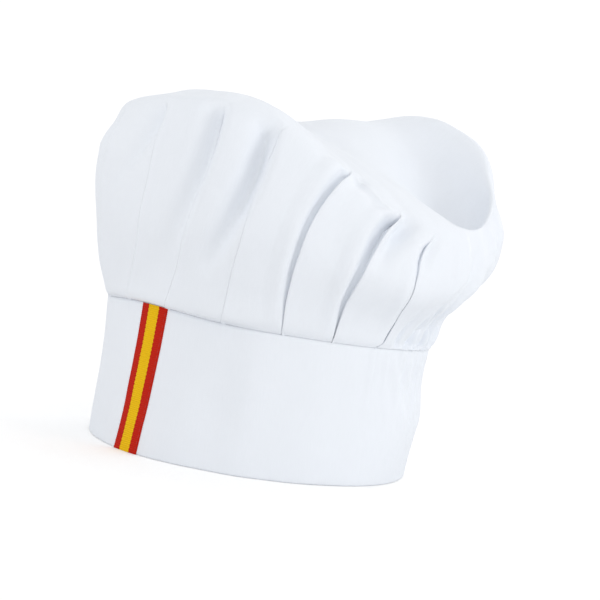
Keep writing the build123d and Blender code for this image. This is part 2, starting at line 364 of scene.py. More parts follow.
def gathers(psi):
    """Uneven gathers round the elasticated back, about -1 to 1, 0 in front of the side seams."""
    turn = np.asarray(psi, float) % 360.0
    arc = turn * MM_PER_DEG
    total = 0.0
    for amplitude, wavelength, phase in RIPPLES:
        total = total + amplitude * np.sin(2 * math.pi * (arc / wavelength) + phase
                                           + 1.7 * np.sin(arc / 23.0 + phase))
    return (np.tanh(total / 2.4 * 1.1) * ramp(turn, SIDE_SEAM + 1, SIDE_SEAM + 12)
            * ramp(turn, 360 - SIDE_SEAM - 1, 360 - SIDE_SEAM - 12))


# upright waves in the band: psi, width in degrees, mm outward
BAND_WAVES = ((62, 12, 0.5), (27, 11, -0.5), (76, 9, -0.5), (-20, 16, -0.5), (-52, 13, 1.0),
              (-75, 12, -0.8), (3, 9, 0.35))
# local dents and swellings: psi, width in degrees, z, height in mm, mm outward
BAND_SPOTS = ((33, 9, 34, 17, -0.9), (12, 12, 14, 14, 0.6), (60, 14, 22, 16, 0.7),
              (-38, 12, 50, 20, -0.5))
# folds fanning down from the elastic's ends: psi at the top, slope, width in degrees, mm outward
BAND_FANS = ((93, 0.42, 2.3, 0.9), (99, 0.62, 2.6, 0.8), (106, 0.78, 3.0, 0.6),
             (90.5, 0.2, 1.6, 0.5))


def band_out(psi, z):
    """How far the band's cloth stands out from its plan, in mm. z is from 0 to BAND_HEIGHT."""
    turn = wrap(psi)
    away = np.abs(turn)
    share = np.clip(z / BAND_HEIGHT, 0, 1)
    belly = np.sin(math.pi * share)
    # the front is a little hollow and flattened between soft upright bends
    out = -1.5 * belly * (1 - ramp(away, 60, 100))
    bend = (turn - 42.0 - 3.0 * (share - 0.5)) * MM_PER_DEG
    ridge = 2.3 * np.exp(-np.sqrt(bend ** 2 + 9.0) / 13.0)
    out = out + (ridge - 1.2 * bump(bend, -17, 12) - 0.9 * bump(bend, 19, 13)) * (
        0.55 + 0.45 * belly)
    wave_height = 0.35 + 0.65 * np.sin(math.pi * np.clip(share * 0.8 + 0.15, 0, 1))
    for centre, width, amount in BAND_WAVES:
        out = out + amount * bump(turn, centre, width) * wave_height
    for centre, width, level, height, amount in BAND_SPOTS:
        out = out + amount * bump(turn, centre, width) * bump(z, level, height)
    # side seams: a fine groove, with puckers that grow upwards
    for seam in (SIDE_SEAM, -SIDE_SEAM):
        gap = (turn - seam) * MM_PER_DEG
        pucker = (0.30 * bump(gap, -2.6, 1.6) - 0.35 * bump(gap, -6.5, 3.0)
                  + 0.3 * bump(gap, 3.4, 2.2))
        out = out - 0.05 * bump(gap, 0, 0.8) + pucker * ramp(z, 20, 66)
    # back: full at mid height, drawn in by the elastic above; fullest just behind the seams
    back = ramp(away, 86, 120)
    side = ramp(away, 88, 104) * (1 - ramp(away, 125, 165))
    fullness = 1.6 * np.sin(math.pi * np.clip(share * 1.15, 0, 1))
    out = out + back * (fullness - 0.8 * ramp(share, 0.55, 0.85))
    out = out + side * (3.2 * bump(z, 40, 22) + 4.8 * ramp(z, 48, 80))
    out = out + gathers(turn) * (0.15 + 1.15 * ramp(share, 0.35, 0.92))
    for sign in (1, -1):
        for top, slope, width, amount in BAND_FANS:
            line = top + slope * (BAND_HEIGHT - z) * 0.6
            out = out + (amount * bump(sign * turn, line, width) * ramp(z, 22, 50)
                         * (1 - 0.6 * ramp(z, 70, 80)))
    return out


def band_point(psi, z, depth):
    """A point of the band: z from 0 to BAND_HEIGHT, depth inward from the outer face."""
    psi, z, depth = np.broadcast_arrays(
        np.asarray(psi, float), np.asarray(z, float), np.asarray(depth, float))
    x, y, normal_x, normal_y = plan_point(psi, depth)
    out = band_out(psi, z)
    point = np.stack([x + normal_x * out, y + normal_y * out,
                      z * (seam_z(psi) / BAND_HEIGHT)], -1)
    # unevenness of the cloth
    uneven = noise(point, 26.0, 0.3) * 0.55 + noise(point, 11.0, 7.7) * 0.16
    uneven = uneven * (0.65 + 0.35 * ramp(np.abs(wrap(psi)), 78, 96))
    point[..., 0] += normal_x * uneven
    point[..., 1] += normal_y * uneven
    # the bottom edge lifts a little here and there
    lift = 0.25 * noise(point * np.array([1, 1, 0.01]), 34.0, 3.0) * ramp(z, 20, 0)
    point[..., 2] += np.maximum(lift, 0.0)
    return point


def top_edge_point(psi, depth, rise):
    """A point by the band's top edge, rise mm above it."""
    point = band_point(psi, BAND_HEIGHT, depth)
    point[:, 2] += rise
    return point


# ------------------------------------------------------------------ pieces of the band

def stations(psi0, psi1, step):
    return np.linspace(psi0, psi1, max(8, int(abs(psi1 - psi0) * MM_PER_DEG / step)) + 1)


def half_circle(depth, z, radius, start, end, count):
    """Inner points of an arc in a (depth, z) section; the end points are left out."""
    return [(depth + radius * math.cos(angle), z + radius * math.sin(angle))
            for angle in np.linspace(start, end, count + 2)[1:-1]]


def sweep(name, psi, section, material):
    """Sweeps a closed section of (depth, z) points along psi on the band, with capped ends."""
    size, last = len(section), len(psi) - 1
    points = band_point(psi[:, None], section[None, :, 1], section[None, :, 0])
    girth = np.append(0, np.cumsum(np.hypot(*np.diff(section, axis=0).T)))
    arc = psi * MM_PER_DEG
    faces = grid_quads(last + 1, size).tolist()
    uv = uv_list(grid_uv(arc[:, None], np.append(girth, girth[-1] + 0.6)[None, :]))
    faces += [list(range(size))[::-1], [last * size + k for k in range(size)]]
    uv += [(arc[0], at_point) for at_point in girth[::-1]]
    uv += [(arc[-1], at_point) for at_point in girth]
    part = new_object(name, points.reshape(-1, 3), faces, material, uv)
    for cap in (-1, -2):
        part.data.polygons[cap].use_smooth = False
    for edge in part.data.edges:
        low, high = sorted(edge.vertices)
        edge.use_edge_sharp = high < size or low >= last * size
    return part


def doubled_cloth(name, psi0, psi1, step, z_step):
    """The doubled band: outer face, rounded fold at the bottom, inner face, open at the top."""
    middle = BAND_THICKNESS / 2
    levels = np.linspace(middle, BAND_HEIGHT, int(BAND_HEIGHT / z_step) + 1)

    def upright(depth):
        return [(depth, z) for z in levels]

    def raw_edge(depth):
        return [(depth, BAND_HEIGHT + 0.05)]

    section = upright(0.0)[::-1]
    section += half_circle(middle, middle, middle, math.pi, 2 * math.pi, 7)
    section += upright(BAND_THICKNESS) + raw_edge(BAND_THICKNESS - PLY * 0.5)
    section += upright(BAND_THICKNESS - PLY)[::-1]
    section += half_circle(middle, middle, middle - PLY, 2 * math.pi, math.pi, 5)
    section += upright(PLY) + raw_edge(PLY * 0.5)
    return sweep(name, stations(psi0, psi1, step), np.array(section), DRILL)


def strip(name, psi0, psi1, z0, z1, depth0, depth1, material, step, z_step):
    """A strip lying inside the band, rounded at top and bottom."""
    radius = (depth1 - depth0) / 2
    middle = depth0 + radius
    bottom, top = z0 + radius, z1 - radius
    count = max(4, int((z1 - z0) / z_step)) + 1
    section = [(depth0, z) for z in np.linspace(bottom, top, count)]
    section += half_circle(middle, top, radius, math.pi, 0, 5)
    section += [(depth1, z) for z in np.linspace(top, bottom, count)]
    section += half_circle(middle, bottom, radius, 0, -math.pi, 5)
    return sweep(name, stations(psi0, psi1, step), np.array(section)[::-1], material)


install(doubled_cloth("front_band_cloth", -SIDE_SEAM, SIDE_SEAM, step=1.3, z_step=2.0),
        "front_band")
install(doubled_cloth("back_band_cloth", SIDE_SEAM + 0.01, 360 - SIDE_SEAM - 0.01,
                      step=1.1, z_step=1.8),
        "back_band", blend=True)
install(strip("front_band_stiffener", -SIDE_SEAM + 0.8, SIDE_SEAM - 0.8,
              z0=1.2, z1=BAND_HEIGHT - 1.0, depth0=0.72, depth1=1.48,
              material=STIFFENER, step=2.4, z_step=4.0),
        "front_band_interfacing")
install(strip("back_elastic_tape", SIDE_SEAM + 1.2, 360 - SIDE_SEAM - 1.2,
              z0=52.0, z1=77.0, depth0=0.74, depth1=1.46,
              material=ELASTIC, step=1.3, z_step=3.0),
        "back_elastic", blend=True)

# ------------------------------------------------------------------ tables of the crown

# "rise" runs up the crown's cloth from 0 at the seam to 1 at the crown's middle.
# The rows of the mesh: fine near the seam, then even.
RISE = np.concatenate([np.linspace(0, 0.03, 9)[:-1], np.linspace(0.03, 0.12, 16)[:-1],
                       np.linspace(0.12, 0.60, 66)[:-1], np.linspace(0.60, 0.93, 42)])

# Outline: radii, then heights, in 12 columns every 30 degrees, starting from this psi
OUTLINE_PSI = 44.5
OUTLINE = [
    # seam to rim
    ([98.2, 96.8, 96.8, 97.5, 98.0, 97.0, 96.5, 97.0, 97.5, 98.0, 98.6, 98.8],
     [83.2] * 12),
    ([102.5, 101., 101.5, 102.5, 103., 103., 102., 102., 103., 102.6, 103., 103.],
     [94.0, 93.0, 93.0, 94.0, 95.0, 95.0, 95.0, 95.0, 95.0, 96.0, 96.0, 95.0]),
    ([110., 112., 117., 118.5, 118., 117., 114., 113., 112., 109., 110., 110.],
     [117., 110., 109., 116., 119., 120., 120., 120., 120., 122., 122., 120.]),
    ([114., 117., 123., 131., 128., 122., 118., 116., 114., 112., 113., 114.],
     [152., 132., 131., 147., 158., 162., 162., 161., 163., 167., 166., 161.]),
    ([106., 110., 117., 122., 117., 110., 107., 106., 104., 101., 103., 106.],
     [184., 157., 149., 170., 207., 207., 199., 195., 195., 194., 196., 199.]),
    # across the top
    ([93., 96., 108., 112., 106., 100., 97., 95., 92., 89., 91., 93.],
     [193., 167., 153., 157., 200., 208., 199., 198., 198., 198., 201., 205.]),
    ([76., 80., 92., 97., 91., 82., 80., 78., 76., 74., 76., 77.],
     [197., 175., 161., 154., 187., 206., 199., 197., 198., 200., 205., 207.5]),
    ([56., 62., 76., 78., 68., 60., 58., 57., 56., 55., 56., 56.],
     [197., 183., 169., 164., 188., 204., 199., 196., 197., 199., 203., 204.]),
    ([38., 42., 50., 54., 46., 40., 38., 38., 38., 38., 38., 38.],
     [195., 188., 179., 178., 192., 200., 198., 195., 196., 198., 201., 200.]),
    ([20.0] * 12,
     [193., 190., 188., 189., 193., 196., 196., 195., 196., 197., 198., 197.]),
]
CENTRE_Z = 193.5
# share of the seam's own rise and dip that each outline row follows
SEAM_SHARE = (1.0, 0.7, 0.3) + (0.0,) * 7
# rise of the seam, the ten outline rows and the middle
KNOTS = np.array([0.0, 0.026, 0.085, 0.198, 0.367, 0.500, 0.580, 0.665, 0.765, 0.855, 0.930, 1.0])

# Local changes: outline row (from 1), psi, width in degrees, radius change, height change
OUTLINE_BUMPS = [
    # drawn in above the seam, front right
    (1, -45, 30, -1.6, 0.0), (2, -45, 30, -1.6, 0.0), (3, -45, 30, -1.5, 0.0),
    # carried out by the full side of the band, rear left
    (1, 128, 24, 1.4, 0.0), (2, 130, 24, -0.6, 0.0), (3, 132, 24, -1.0, 0.0),
    # peak of the rear lobe
    (5, 166, 12, 1.0, 2.0), (6, 172, 14, 0.0, 1.5), (5, 154, 7, 2.0, 2.0),
    # pocket inside the rim, rear left
    (6, 132, 13, 1.5, -3.5), (7, 132, 14, 1.0, -5.0), (8, 130, 12, 0.0, -3.0),
]


def pleat(edge, end, bulge, overlap, depth, opening):
    """One pleat. edge: (rise, psi) of its crisp edge; overlap, depth, opening: (rise, mm);
    end: rise of its top end; bulge: mm that the cloth beside it swells."""
    return dict(edge=edge, end=end, bulge=bulge, overlap=overlap, depth=depth, opening=opening)


# The pleats, from the wearer's right to the left. They all lie one way.
PLEATS = [
    pleat([(0, -87), (0.1, -84.5), (0.25, -81.5), (0.4, -80.5), (0.5, -81.5)],
          end=0.47, bulge=0.15, overlap=[(0, 3), (0.5, 1)],
          depth=[(0, 0.6), (0.3, 0.8), (0.42, 1.5), (0.5, 1.2)],
          opening=[(0, 0.3), (0.25, 0.8), (0.42, 2.2), (0.5, 2.6)]),
    pleat([(0, -71), (0.1, -67.5), (0.25, -63.5), (0.4, -61.5), (0.5, -62.0)],
          end=0.50, bulge=0.15, overlap=[(0, 3), (0.5, 1)],
          depth=[(0, 0.6), (0.3, 1.0), (0.44, 1.8), (0.5, 1.3)],
          opening=[(0, 0.3), (0.25, 1.0), (0.42, 2.6), (0.5, 3.0)]),
    pleat([(0, -52), (0.2, -47), (0.5, -42)],
          end=0.50, bulge=0.1, overlap=[(0, 3), (0.5, 1)],
          depth=[(0, 0.55), (0.5, 0.5)], opening=[(0, 0.3), (0.5, 0.6)]),
    pleat([(0, -32), (0.2, -24), (0.5, -20)],
          end=0.50, bulge=0.1, overlap=[(0, 3), (0.5, 1)],
          depth=[(0, 0.55), (0.5, 0.5)], opening=[(0, 0.3), (0.5, 0.6)]),
    pleat([(0, -12), (0.037, -8.5), (0.171, -1.0), (0.33, 3.0), (0.42, 3.0), (0.5, 0.5)],
          end=0.50, bulge=0.1, overlap=[(0, 3), (0.3, 2.4), (0.5, 1)],
          depth=[(0, 0.5), (0.4, 0.5), (0.5, 0.8)],
          opening=[(0, 0.25), (0.4, 0.4), (0.5, 1.5)]),
    pleat([(0, 8.3), (0.037, 10.5), (0.135, 14.2), (0.23, 17.0), (0.34, 20.0), (0.43, 21.8),
           (0.54, 22.0)],
          end=0.52, bulge=0.1, overlap=[(0, 3), (0.3, 2.4), (0.5, 1.5)],
          depth=[(0, 0.5), (0.35, 0.5), (0.5, 1.6)],
          opening=[(0, 0.25), (0.35, 0.4), (0.47, 2.2), (0.54, 3.2)]),
    pleat([(0, 29.5), (0.037, 30.5), (0.145, 32.0), (0.233, 34.0), (0.335, 35.6),
           (0.395, 37.0), (0.46, 39.5), (0.55, 41.3)],
          end=0.545, bulge=0.1, overlap=[(0, 3), (0.3, 2.4), (0.5, 1.5)],
          depth=[(0, 0.55), (0.33, 0.5), (0.45, 1.6), (0.54, 2.4)],
          opening=[(0, 0.3), (0.33, 0.4), (0.46, 2.6), (0.54, 4.0)]),
    pleat([(0, 50.0), (0.107, 49.5), (0.203, 50.0), (0.305, 51.5), (0.362, 53.0),
           (0.417, 55.5), (0.485, 59.5), (0.585, 66.5)],
          end=0.592, bulge=1.8, overlap=[(0, 1.5), (0.3, 1.6), (0.57, 1.6)],
          depth=[(0, 0.9), (0.05, 1.5), (0.15, 2.6), (0.3, 3.3), (0.45, 4.0), (0.53, 4.6),
                 (0.58, 4.2)],
          opening=[(0, 0.8), (0.1, 2.8), (0.25, 4.2), (0.4, 5.0), (0.57, 6.2)]),
    pleat([(0, 67.5), (0.14, 67.5), (0.22, 68.5), (0.32, 70.2), (0.403, 73.0), (0.463, 77.0),
           (0.5, 81.0)],
          end=0.515, bulge=1.8, overlap=[(0, 1.5), (0.3, 1.6), (0.5, 1.6)],
          depth=[(0, 1.0), (0.05, 1.7), (0.15, 3.0), (0.28, 4.2), (0.37, 5.6), (0.45, 6.6),
                 (0.51, 5.6)],
          opening=[(0, 0.8), (0.1, 3.2), (0.25, 5.4), (0.4, 8.0), (0.51, 9.0)]),
    pleat([(0, 84.5), (0.018, 87.8), (0.06, 88.5), (0.103, 88.0), (0.147, 86.5),
           (0.225, 85.6), (0.307, 85.5), (0.372, 86.6), (0.427, 88.5), (0.46, 91.0)],
          end=0.46, bulge=0.9, overlap=[(0, 0.8), (0.5, 0.8)],
          depth=[(0, 0.8), (0.06, 1.4), (0.13, 0.35), (0.3, 0.5), (0.38, 1.6), (0.46, 2.0)],
          opening=[(0, 0.8), (0.06, 2.4), (0.13, 0.5), (0.3, 2.2), (0.4, 4.4), (0.46, 5.0)]),
]

# Soft valleys (ridges where the depth is negative): path (rise, psi), half widths in mm on the
# lower and the higher psi side, depth (rise, mm)
VALLEYS = [
    ([(0.15, 25), (0.182, 26.5), (0.25, 29.5), (0.333, 33), (0.403, 35.6), (0.465, 36.8),
      (0.54, 38.0)], (8.0, 4.6),
     [(0.13, 0), (0.22, 6.0), (0.32, 10.0), (0.43, 12.0), (0.51, 10.5), (0.56, 0)]),
    ([(0.18, 13), (0.22, 14.5), (0.302, 17.5), (0.378, 20.2), (0.435, 21.4), (0.52, 21.8)],
     (8.0, 3.8), [(0.15, 0), (0.28, 4.6), (0.42, 8.4), (0.49, 8.0), (0.535, 0)]),
    ([(0.28, -13), (0.338, -7.5), (0.39, -2), (0.43, 1.0), (0.478, 1.0)], (7.0, 3.6),
     [(0.26, 0), (0.36, 3.2), (0.46, 5.4), (0.505, 0)]),
    ([(0.2, -32), (0.35, -27), (0.5, -22)], (7, 4),
     [(0.2, 0), (0.36, 2.5), (0.46, 3.0), (0.51, 0)]),
    ([(0.2, -53), (0.35, -48), (0.5, -43)], (8, 5),
     [(0.15, 0), (0.3, 3.0), (0.46, 3.5), (0.51, 0)]),
    ([(0.30, 72.5), (0.362, 74.4), (0.42, 77.8), (0.473, 81.8), (0.52, 84.5)], (4.2, 6.0),
     [(0.29, 0), (0.37, 4.0), (0.45, 7.5), (0.49, 6.5), (0.525, 0)]),
    ([(0.45, 60), (0.475, 61.5), (0.545, 67), (0.60, 70.5)], (4.5, 4.5),
     [(0.44, 0), (0.5, 1.0), (0.565, 3.0), (0.61, 0)]),
    ([(0.37, 88), (0.403, 89), (0.432, 90.5), (0.46, 92)], (3.6, 3.6),
     [(0.33, 0), (0.40, 3.0), (0.44, 3.0), (0.47, 0)]),
    ([(0.12, 103), (0.203, 104), (0.263, 105), (0.31, 108), (0.4, 112)], (5, 5),
     [(0.14, 0), (0.20, 3.0), (0.28, 3.0), (0.42, 0)]),
    ([(0.1, 112), (0.152, 112), (0.235, 114), (0.32, 118)], (6, 6),
     [(0.10, 0), (0.17, -2.6), (0.28, -2.6), (0.40, 0)]),
    ([(0.12, 127), (0.2, 128), (0.3, 131), (0.4, 134)], (6, 6),
     [(0.10, 0), (0.18, 3.0), (0.30, 2.4), (0.42, 0)]),
    # gathers drawn up by the elastic behind the left side seam
    ([(0, 95.5), (0.05, 95.2), (0.12, 96.2)], (1.9, 1.2),
     [(0, 1.4), (0.05, 3.0), (0.12, 1.2), (0.15, 0)]),
    ([(0, 98.8), (0.05, 99.5), (0.10, 100.5)], (1.9, 1.2),
     [(0, 1.0), (0.04, 2.2), (0.09, 0.8), (0.12, 0)]),
    ([(0, 101.5), (0.06, 103.0), (0.10, 105.0), (0.185, 103.0)], (2.2, 1.3),
     [(0, 1.6), (0.08, 4.4), (0.14, 4.0), (0.21, 0)]),
    ([(0, 108), (0.05, 109.5), (0.09, 112.0), (0.15, 117.0)], (2.3, 1.4),
     [(0, 1.6), (0.08, 4.8), (0.13, 3.0), (0.17, 0)]),
    ([(0, 116), (0.05, 119.0), (0.12, 125.0)], (2.3, 1.5),
     [(0, 1.2), (0.07, 2.8), (0.12, 1.2), (0.15, 0)]),
    ([(0, 125), (0.05, 128.0), (0.12, 133.0)], (2.4, 1.6),
     [(0, 1.2), (0.07, 2.8), (0.12, 1.2), (0.15, 0)]),
    # broad dents in the panels
    ([(0.12, 11), (0.22, 13)], (9, 9), [(0.08, 0), (0.16, 1.2), (0.25, 0)]),
    ([(0.2, 42), (0.5, 48)], (9, 9), [(0.15, 0), (0.3, 1.4), (0.5, 0)]),
    ([(0.2, 58), (0.45, 62)], (8, 8), [(0.15, 0), (0.32, 1.6), (0.5, 0)]),
]


# ------------------------------------------------------------------ shape of the crown

def eased(points, window):
    """A path of (rise, value) read at every row, its corners rounded over a few rows."""
    places, values = np.array(points, float).T
    read = np.pad(np.interp(RISE, places, values), window // 2, mode="edge")
    return np.convolve(read, np.ones(window) / window, mode="valid")


def round_table(values, psi):
    """Smooth closed curve through 12 values, as a Fourier series."""
    waves = np.fft.rfft(np.array(values, float))
    count = len(values)
    angle = np.radians(np.asarray(psi, float) - OUTLINE_PSI)
    out = np.full_like(angle, waves[0].real / count)
    for k in range(1, len(waves)):
        weight = 1.0 if 2 * k == count else 2.0
        out = out + weight * (waves[k].real * np.cos(k * angle)
                              - waves[k].imag * np.sin(k * angle)) / count
    return out


def natural_spline(knots, values, place):
    """Natural cubic spline through the rows of values at knots, read at one place."""
    gaps = np.diff(knots)
    count = len(knots)
    matrix = np.zeros((count, count))
    matrix[0, 0] = matrix[-1, -1] = 1
    target = np.zeros_like(values)
    for i in range(1, count - 1):
        matrix[i, i - 1:i + 2] = gaps[i - 1], 2 * (gaps[i - 1] + gaps[i]), gaps[i]
        target[i] = 3 * ((values[i + 1] - values[i]) / gaps[i]
                         - (values[i] - values[i - 1]) / gaps[i - 1])
    curve = np.linalg.solve(matrix, target)
    i = np.clip(np.searchsorted(knots, place) - 1, 0, count - 2)
    gap, step = gaps[i], place - knots[i]
    slope = (values[i + 1] - values[i]) / gap - gap * (2 * curve[i] + curve[i + 1]) / 3
    cubic = (curve[i + 1] - curve[i]) / (3 * gap)
    return values[i] + slope * step + curve[i] * step ** 2 + cubic * step ** 3


def crown_base(psi):
    """Radius and height of the crown without its folds, at a (rows, columns) grid of psi."""
    x, y, _, _ = plan_point(psi, 0.0)
    seam = seam_z(psi)
    radii, heights = [np.hypot(x, y)], [seam + 0.2]
    for (row_radii, row_heights), share in zip(OUTLINE, SEAM_SHARE):
        radii.append(round_table(row_radii, psi))
        heights.append(round_table(row_heights, psi) + (seam - BAND_HEIGHT) * share)
    for row, centre, width, radius_change, height_change in OUTLINE_BUMPS:
        near = bump(wrap(psi - centre), 0, width)
        radii[row] = radii[row] + radius_change * near
        heights[row] = heights[row] + height_change * near
    radii.append(np.zeros_like(x))
    heights.append(np.full_like(x, CENTRE_Z))
    return [np.array([natural_spline(KNOTS, knots[:, i], rise) for i, rise in enumerate(RISE)])
            for knots in (np.array(radii), np.array(heights))]


def round_point(psi, radius, height):
    angle = np.radians(psi - 90.0)
    return np.stack([radius * np.cos(angle), radius * np.sin(angle), height], -1)


def base_normals(psi):
    """Normals of the base, taken from an even grid so that folded columns don't upset them."""
    even = np.broadcast_to(np.arange(-180.0, 180.0), (len(RISE), 360))
    grid = round_point(even, *crown_base(even))
    around = np.roll(grid, -1, 1) - np.roll(grid, 1, 1)
    even_normals = unit(np.cross(around, np.gradient(grid, axis=0)))
    place = (psi + 180.0) % 360.0
    column = np.floor(place).astype(int) % 360
    part = (place - np.floor(place))[..., None]
    rows = np.arange(len(RISE))[:, None]
    return unit(even_normals[rows, column] * (1 - part)
                + even_normals[rows, (column + 1) % 360] * part, 0.0)


# A pleat's section has 14 nodes; these are the steps between them.
SECTION_STEPS = [3, 3, 2, 2, 1, 1, 1, 2, 2, 1, 1, 2, 3]
SECTION_COLUMNS = sum(SECTION_STEPS) + 1


def pleat_section(depth, opening, overlap, bulge, before, after):
    """Section points (rows, SECTION_COLUMNS, 2) as x along the cloth from the crisp edge and
    y outward. The panel before the pleat (lower psi) rolls in, runs under the panel after it,
    turns back, and comes out at the crisp edge. before and after: reach on each side."""
    gape = ramp(opening, 1.0, 4.5)          # 0 where pressed flat, 1 where it gapes
    flat = 1 - gape
    lift = 0.40 + 0.12 * gape
    outline = [
        (-opening - before, 0.0),
        (-opening - np.minimum(3.2, 0.36 * before), bulge),
        (-opening * 0.88 - 0.9 * flat, (-0.16 * depth + 0.3 * bulge) * gape),
        (-(0.35 + 0.17 * gape) * opening - 0.02,
         -(0.62 + 0.14 * gape) * depth * gape + 0.17 * flat),
        (0.42 * overlap, -0.97 * depth),
        (0.85 * overlap, -1.0 * depth),
        (1.0 * overlap, -0.90 * depth),
        (0.8 * overlap, -0.70 * depth),
        (0.38 * overlap, -0.33 * depth - 0.16 * flat),
        (0.10 * overlap + 0.12, -0.07 * depth - 0.09 - 0.09 * gape),
        (0.0, (0.30 + 0.35 * flat) * lift),
        (0.6, lift),
        (0.4 * after, 0.85 * lift),
        (after, 0.0),
    ]
    nodes = np.array([np.broadcast_arrays(x, y, depth)[:2] for x, y in outline])
    nodes = nodes.transpose(2, 0, 1)        # (rows, nodes, 2)
    last = len(outline) - 1
    points = []
    for i, steps in enumerate(SECTION_STEPS):
        start, end = nodes[:, i], nodes[:, i + 1]
        length = np.linalg.norm(end - start, axis=1, keepdims=True)
        tangents = [(end - nodes[:, max(i - 1, 0)]) * 0.5,
                    (nodes[:, min(i + 2, last)] - start) * 0.5]
        # keep tangents short, so that unequal spacing doesn't loop
        for tangent in tangents:
            size = np.linalg.norm(tangent, axis=1, keepdims=True)
            tangent *= np.minimum(1.0, 1.2 * length / (size + 1e-9))
        for j in range(steps):
            part = j / steps
            points.append((2 * part ** 3 - 3 * part ** 2 + 1) * start
                          + (part ** 3 - 2 * part ** 2 + part) * tangents[0]
                          + (-2 * part ** 3 + 3 * part ** 2) * end
                          + (part ** 3 - part ** 2) * tangents[1])
    points.append(nodes[:, -1])
    return np.stack(points, 1)


def between(start, end, share):
    return start * (1 - share) + end * share


REACH_BEFORE, REACH_AFTER = 9.0, 8.0        # most that a pleat takes of the panels beside it


def pleat_columns(pleat_sizes, space_before, space_after):
    """x and y (rows, SECTION_COLUMNS) of a pleat, given the mm to its neighbours."""
    end = pleat_sizes["end"]
    closing = ramp(RISE, end, end - 0.035)
    depth = eased(pleat_sizes["depth"], 7) * closing
    opening = eased(pleat_sizes["opening"], 7) * (0.3 + 0.7 * closing)
    overlap = eased(pleat_sizes["overlap"], 7) * closing
    bulge = pleat_sizes["bulge"] * ramp(RISE, 0.0, 0.2) * closing
    opening = np.minimum(opening, 0.38 * space_before)
    overlap = np.minimum(overlap, 0.45 * space_after)
    before = np.minimum(REACH_BEFORE,
                        np.maximum(0.62 * space_before - opening, 0.1 * space_before))
    after = np.minimum(REACH_AFTER, 0.26 * space_after)
    section = pleat_section(depth, opening, overlap, bulge, before, after)
    # above its top end the same columns lie flat and evenly spread
    share = np.linspace(0, 1, SECTION_COLUMNS)[None, :]
    flat_x = between(-(before + np.minimum(opening, 2.0))[:, None], after[:, None], share)
    folded = ramp(RISE, end + 0.05, end - 0.03)[:, None]
    return between(flat_x, section[..., 0], folded), section[..., 1] * folded


PANEL_COLUMNS = 8           # between two pleats
BACK_COLUMNS = 330          # at least this many where there are no pleats
COLUMN_MULTIPLE = 32        # so that the columns can halve towards the middle


def crown_columns():
    """psi and outward offset of every column: pleats, panels between them, then the rest."""
    edges = np.stack([eased(sizes["edge"], 7) for sizes in PLEATS], 1)
    radius, _ = crown_base(edges)
    deg_per_mm = np.degrees(1.0 / np.maximum(radius, 18.0))
    space = np.diff(edges, axis=1) / (0.5 * (deg_per_mm[:, :-1] + deg_per_mm[:, 1:]))
    space = np.column_stack([space[:, 0], space, np.full(len(RISE), 60.0)])
    panel = np.linspace(0, 1, PANEL_COLUMNS + 2)[1:-1][None, :]
    psi_parts, out_parts = [], []
    for k, sizes in enumerate(PLEATS):
        x, y = pleat_columns(sizes, space[:, k], space[:, k + 1])
        psi = edges[:, k, None] + x * deg_per_mm[:, k, None]
        if k:
            psi_parts.append(between(psi_parts[-1][:, -1:], psi[:, :1], panel))
            out_parts.append(np.zeros((len(RISE), PANEL_COLUMNS)))
        psi_parts.append(psi)
        out_parts.append(y)
    front = np.concatenate(psi_parts, 1)
    count = front.shape[1]
    total = math.ceil((count + BACK_COLUMNS) / COLUMN_MULTIPLE) * COLUMN_MULTIPLE
    rest = total - count
    share = (np.arange(rest) + 1) / (rest + 1)
    # denser just behind the left side seam
    share = share - 0.12 * np.sin(math.pi * share) * (1 - 0.2 * share)
    psi = np.concatenate([front, between(front[:, -1:], front[:, :1] + 360.0, share)], 1)
    out = np.concatenate(out_parts + [np.zeros((len(RISE), rest))], 1)
    # towards the middle the columns become even
    even = (front[0, 0] + 360.0 * np.arange(total) / total)[None, :]
    return between(psi, even, ramp(RISE, 0.60, 0.90)[:, None]), out


# broad folds round the back: amplitude, wavelength in mm, phase
BROAD_FOLDS = ((1.0, 27.0, 0.4), (0.8, 19.0, 2.1), (0.6, 39.0, 4.0))
# crisp crease where the panel between the two deepest pleats turns over to the top
CREASE_PSI = [64, 68, 71.5, 73, 75, 80, 84]
CREASE_RISE = [0.600, 0.594, 0.552, 0.527, 0.512, 0.500, 0.495]
# the rim's facet between two soft creases, and where it shows: psi, width in degrees
FACET_LOW, FACET_HIGH = 0.372, 0.500
FACETS = ((-46, 26), (134, 14))


